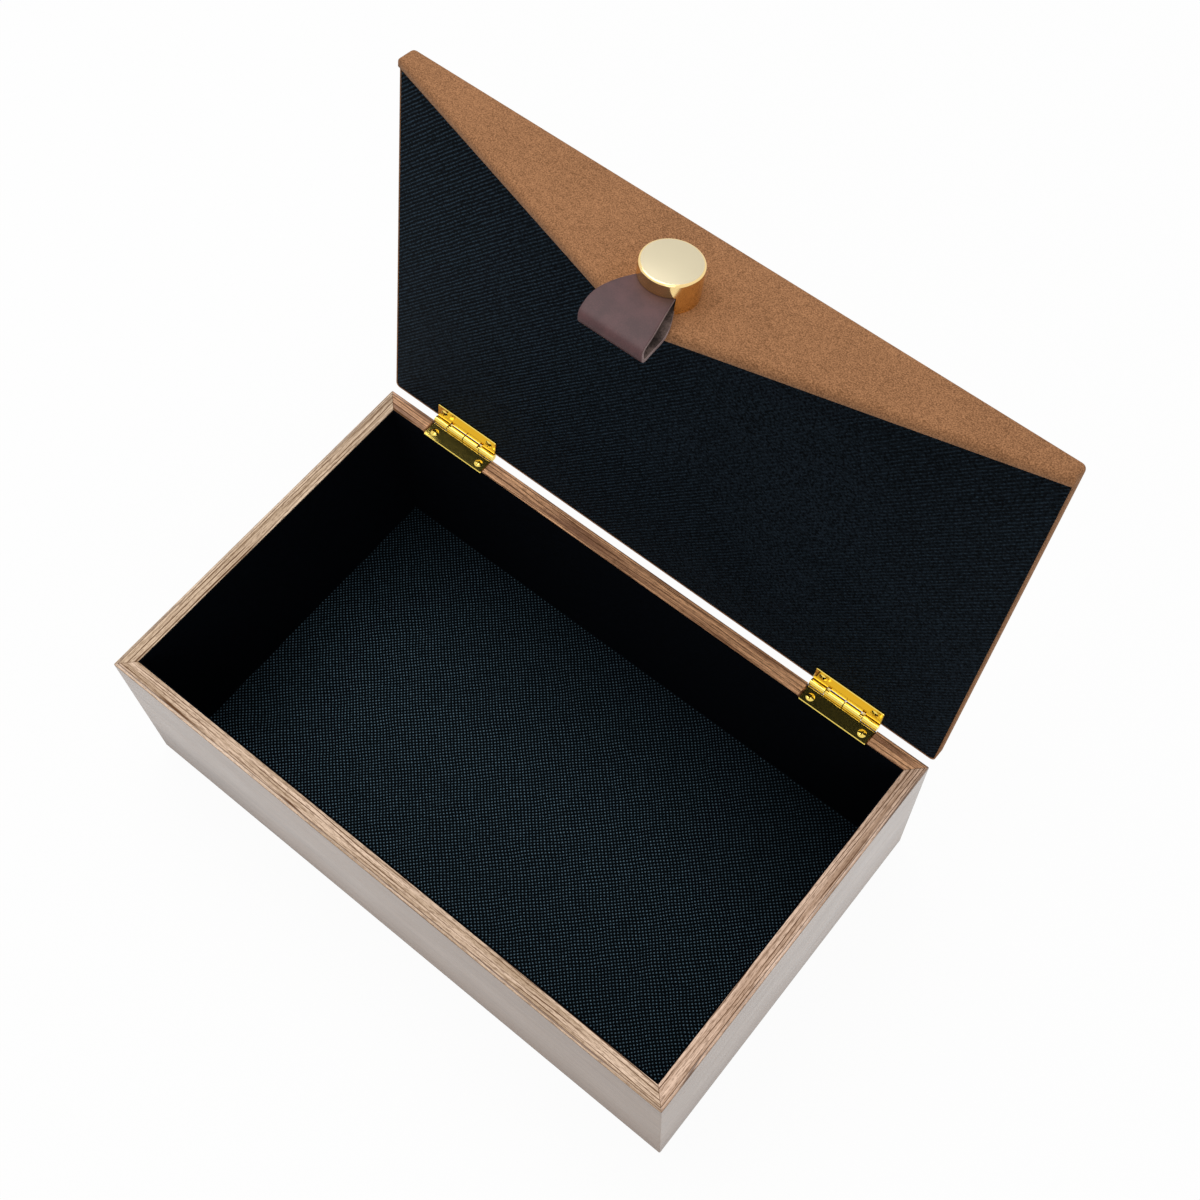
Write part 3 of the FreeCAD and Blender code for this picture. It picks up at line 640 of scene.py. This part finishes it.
leather_light = (0.096, 0.042, 0.043, 1)
leather_dark = (0.056, 0.025, 0.026, 1)
flesh_light = (0.19, 0.132, 0.115, 1)
flesh_dark = (0.025, 0.016, 0.014, 1)
cut_light = (0.36, 0.265, 0.255, 1)
cut_dark = (0.20, 0.135, 0.13, 1)
strap_thickness = 1.4 * mm
root_half_width, fold_half_width = 6.8 * mm, 12.0 * mm
strap_back, knob_above_tip, widens_at = 6.6 * mm, 17.0 * mm, 5.5 * mm
bend_before_tip, overhang, droop = 2.4 * mm, 8.9 * mm, 1.0 * mm
fold_bends = [(1.6 * mm, 120, 12), (2.4 * mm, 45, 8), (6.0 * mm, 14, 4)]
lower_shift, upper_shift = 0.4 * mm, -1.8 * mm
pocket_height, lift, post_hole = 6.4 * mm, 0.02 * mm, 3.3 * mm
hole_edge_reach = 1.6 * post_hole
lower_overhang_share = 0.4
strap_edge_round = 0.28 * mm
strap_columns = 14


def leather_material(name, light, dark, grain_size, depth, roughness):
    material, tree, shader = start_material(name)
    place = place_on_piece(tree)
    pores = mottle(tree, place, [grain_size] * 3, 2.0)
    stain = mottle(tree, place, (7.0, 7.0, 7.0), 2.0)
    tone = rise(tree, calc(tree, "MULTIPLY_ADD", pores, 0.35, calc(tree, "MULTIPLY", stain, 0.65)), 0.3, 0.7)
    tree.links.new(mix_colours(tree, tone, dark, light), shader.inputs["Base Color"])
    relief(tree, shader, pores, depth)
    shader.inputs["Roughness"].default_value = roughness
    shader.inputs["Specular IOR Level"].default_value = 0.35
    return material


class StrapLine:
    """The strap's middle layer, grown from an edge across it, along runs and round bends."""

    def __init__(self, out, up):
        self.shape = bmesh.new()
        self.out, self.up, self.heading, self.length = out, up, 0.0, 0.0
        half_widths = (-root_half_width, root_half_width)
        edge = self.shape.edges.new([self.shape.verts.new((x, *self.place(out, up))) for x in half_widths])
        bmesh.ops.subdivide_edges(self.shape, edges=[edge], cuts=strap_columns - 1)
        self.last = self.shape.verts[:] + self.shape.edges[:]

    def place(self, out, up):
        """Y and Z on the shut lid of a point that far out along the flap and that far off it."""
        return flap_outside - up, lid_low - out

    def run(self, length, steps):
        self.length += length
        for _ in range(steps):
            edges = [g for g in self.last if isinstance(g, bmesh.types.BMEdge)]
            grown = bmesh.ops.extrude_edge_only(self.shape, edges=edges)["geom"]
            row = [g for g in grown if isinstance(g, bmesh.types.BMVert)]
            step = length / steps
            out, up = step * math.cos(self.heading), step * math.sin(self.heading)
            bmesh.ops.translate(self.shape, vec=(0, -up, -out), verts=row)
            edges = [g for g in grown if isinstance(g, bmesh.types.BMEdge)]
            self.last = row + [e for e in edges if all(v in row for v in e.verts)]
            self.out, self.up = self.out + out, self.up + up

    def bend(self, radius, angle, steps):
        self.length += radius * abs(angle)
        reach = math.copysign(radius, angle)
        out = self.out - reach * math.sin(self.heading)
        up = self.up + reach * math.cos(self.heading)
        centre = (0, *self.place(out, up))
        spun = bmesh.ops.spin(
            self.shape, geom=self.last, cent=centre, axis=(-1, 0, 0), angle=angle, steps=steps
        )
        self.last = spun["geom_last"]
        self.heading += angle
        self.out = out + reach * math.sin(self.heading)
        self.up = up - reach * math.cos(self.heading)


tip_out = lid_low - tip
knob_out = tip_out - knob_above_tip
start_out = knob_out - strap_back
low_up = lift + strap_thickness / 2
high_up = pocket_height - strap_thickness / 2
strap = StrapLine(start_out, low_up)
strap.run(tip_out - bend_before_tip - start_out, steps=18)
dip_run, dip_fall = bend_before_tip + overhang, droop + low_up
dip_radius = (dip_run**2 + dip_fall**2) / (2 * dip_fall)
strap.bend(dip_radius, -2 * math.atan2(dip_fall, dip_run), steps=8)
for radius, degrees, steps in fold_bends:
    strap.bend(radius, math.radians(degrees), steps)
level_angle = math.pi - strap.heading
strap.bend((high_up - strap.up) / (1 - math.cos(level_angle)), level_angle, steps=12)
strap.run(strap.out - start_out, steps=16)
loop = strap.shape
for vert in loop.verts:
    height_share = min(max((flap_outside - vert.co.y - low_up) / (high_up - low_up), 0), 1)
    overhang_share = lower_overhang_share + (1 - lower_overhang_share) * height_share
    full_width_at = tip_out + overhang * overhang_share
    past = (lid_low - vert.co.z - knob_out - widens_at) / (full_width_at - knob_out - widens_at)
    past = math.sin(min(max(past, 0), 1) * math.pi / 2)
    vert.co.x *= 1 + past * (fold_half_width / root_half_width - 1)
    vert.co.x += past * (lower_shift + (upper_shift - lower_shift) * height_share)
bmesh.ops.remove_doubles(loop, verts=loop.verts, dist=same_place)
post = Vector((0, lid_low - knob_out))
holed = [f for f in loop.faces if (f.calc_center_median().xz - post).length < post_hole]
bmesh.ops.delete(loop, geom=holed, context="FACES")
for vert in loop.verts:
    from_post = vert.co.xz - post
    if vert.is_boundary and from_post.length < hole_edge_reach:
        vert.co.xz = post + from_post.normalized() * post_hole
loop.faces.ensure_lookup_table()
loop.normal_update()
lowest_run = min(loop.faces, key=lambda f: (f.calc_center_median().y * -1, f.index))
if lowest_run.normal.y < 0:
    bmesh.ops.reverse_faces(loop, faces=loop.faces)
leather = leather_material("brown_leather", leather_light, leather_dark, 0.5, 0.03 * mm, 0.5)
tab = show_on_lid(loop, "leather_pull_tab", leather)
tab.data.materials.append(leather_material("leather_flesh", flesh_light, flesh_dark, 0.7, 0.25 * mm, 0.95))
tab.data.materials.append(leather_material("leather_cut_edge", cut_light, cut_dark, 0.4, 0.08 * mm, 0.8))
skin = tab.modifiers.new("strap_thickness", "SOLIDIFY")
skin.thickness = strap_thickness
skin.offset = 0
skin.use_even_offset = True
skin.material_offset = 1
skin.material_offset_rim = 2
rounding = tab.modifiers.new("strap_edges", "BEVEL")
rounding.width = strap_edge_round
rounding.segments = 3
rounding.limit_method = "ANGLE"
rounding.angle_limit = math.radians(50)
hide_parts("pull_tab")
narrow_length = 2 * (strap_back + widens_at)
strap_area = 2 * root_half_width * narrow_length
strap_area += (root_half_width + fold_half_width) * (strap.length - narrow_length)

# Studio: a plain white floor that keeps the object's soft shadow, a large soft lamp above and behind the
# box, a weaker one in front, even light from all round, and the camera where the photograph was taken
# from.

floor_shape = bmesh.new()
bmesh.ops.create_grid(floor_shape, x_segments=1, y_segments=1, size=6.0)
floor_mesh = bpy.data.meshes.new("studio_floor")
floor_shape.to_mesh(floor_mesh)
floor_shape.free()
floor = bpy.data.objects.new("studio_floor", floor_mesh)
bpy.context.scene.collection.objects.link(floor)
floor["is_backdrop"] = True


def seen_directly(tree):
    """1 for what the camera sees, also in a reflection or through glass, and 0 for light on the object."""
    path = shade(tree, "ShaderNodeLightPath", {}).outputs
    seen = calc(tree, "MAXIMUM", path["Is Camera Ray"], path["Is Glossy Ray"])
    return calc(tree, "MAXIMUM", seen, path["Is Transmission Ray"])


glow_share = 0.95
white_floor, tree, matt = start_material("white_floor")
matt.inputs["Base Color"].default_value = (0.85, 0.85, 0.85, 1)
matt.inputs["Roughness"].default_value = 0.9
matt.inputs["Specular IOR Level"].default_value = 0.0
glow = shade(tree, "ShaderNodeEmission", {"Color": (1, 1, 1, 1), "Strength": 1.0})
share = calc(tree, "MULTIPLY", seen_directly(tree), glow_share)
both = shade(tree, "ShaderNodeMixShader", {0: share, 1: matt.outputs[0], 2: glow.outputs[0]})
tree.links.new(both.outputs[0], tree.nodes["Material Output"].inputs["Surface"])
floor_mesh.materials.append(white_floor)

air_light = 0.5
world = bpy.data.worlds.new("studio_air")
world.use_nodes = True
bpy.context.scene.world = world
air = world.node_tree
background = air.nodes["Background"]
background.inputs["Color"].default_value = (1, 1, 1, 1)
strength = calc(air, "MULTIPLY_ADD", seen_directly(air), 1 - air_light, air_light)
air.links.new(strength, background.inputs["Strength"])


def add_lamp(name, place, size, watts, target=(0, 0, 0.08)):
    data = bpy.data.lights.new(name, "AREA")
    data.shape = "SQUARE"
    data.size = size
    data.energy = watts
    lamp = bpy.data.objects.new(name, data)
    bpy.context.scene.collection.objects.link(lamp)
    lamp.location = place
    lamp.rotation_euler = (Vector(target) - Vector(place)).to_track_quat("-Z", "Y").to_euler()


add_lamp("soft_box", (-0.38, 0.25, 1.35), 1.0, 9.0)
add_lamp("front_fill", (0.9, -1.0, 1.1), 0.8, 4.0)

photo_pixels = 1200
focal_pixels = 1733.72
camera_eye = (0.19168, -0.16347, 0.66360)
camera_azimuth, camera_elevation, camera_roll = (math.radians(a) for a in (41.8031, 63.2155, -2.9891))
camera_data = bpy.data.cameras.new("photo_camera")
camera_data.sensor_width = 36.0
camera_data.lens = camera_data.sensor_width * focal_pixels / photo_pixels
camera_data.clip_start = 0.01
camera = bpy.data.objects.new("photo_camera", camera_data)
bpy.context.scene.collection.objects.link(camera)
camera_turn = Matrix.Rotation(camera_azimuth, 4, "Z")
camera_turn @= Matrix.Rotation(math.pi / 2 - camera_elevation, 4, "X")
camera_turn @= Matrix.Rotation(camera_roll, 4, "Z")
camera.matrix_world = Matrix.Translation(camera_eye) @ camera_turn
bpy.context.scene.camera = camera
bpy.context.scene.view_settings.view_transform = "Standard"

# The object's box as dressed; cad_low and cad_high above hold its box as built.

low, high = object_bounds()
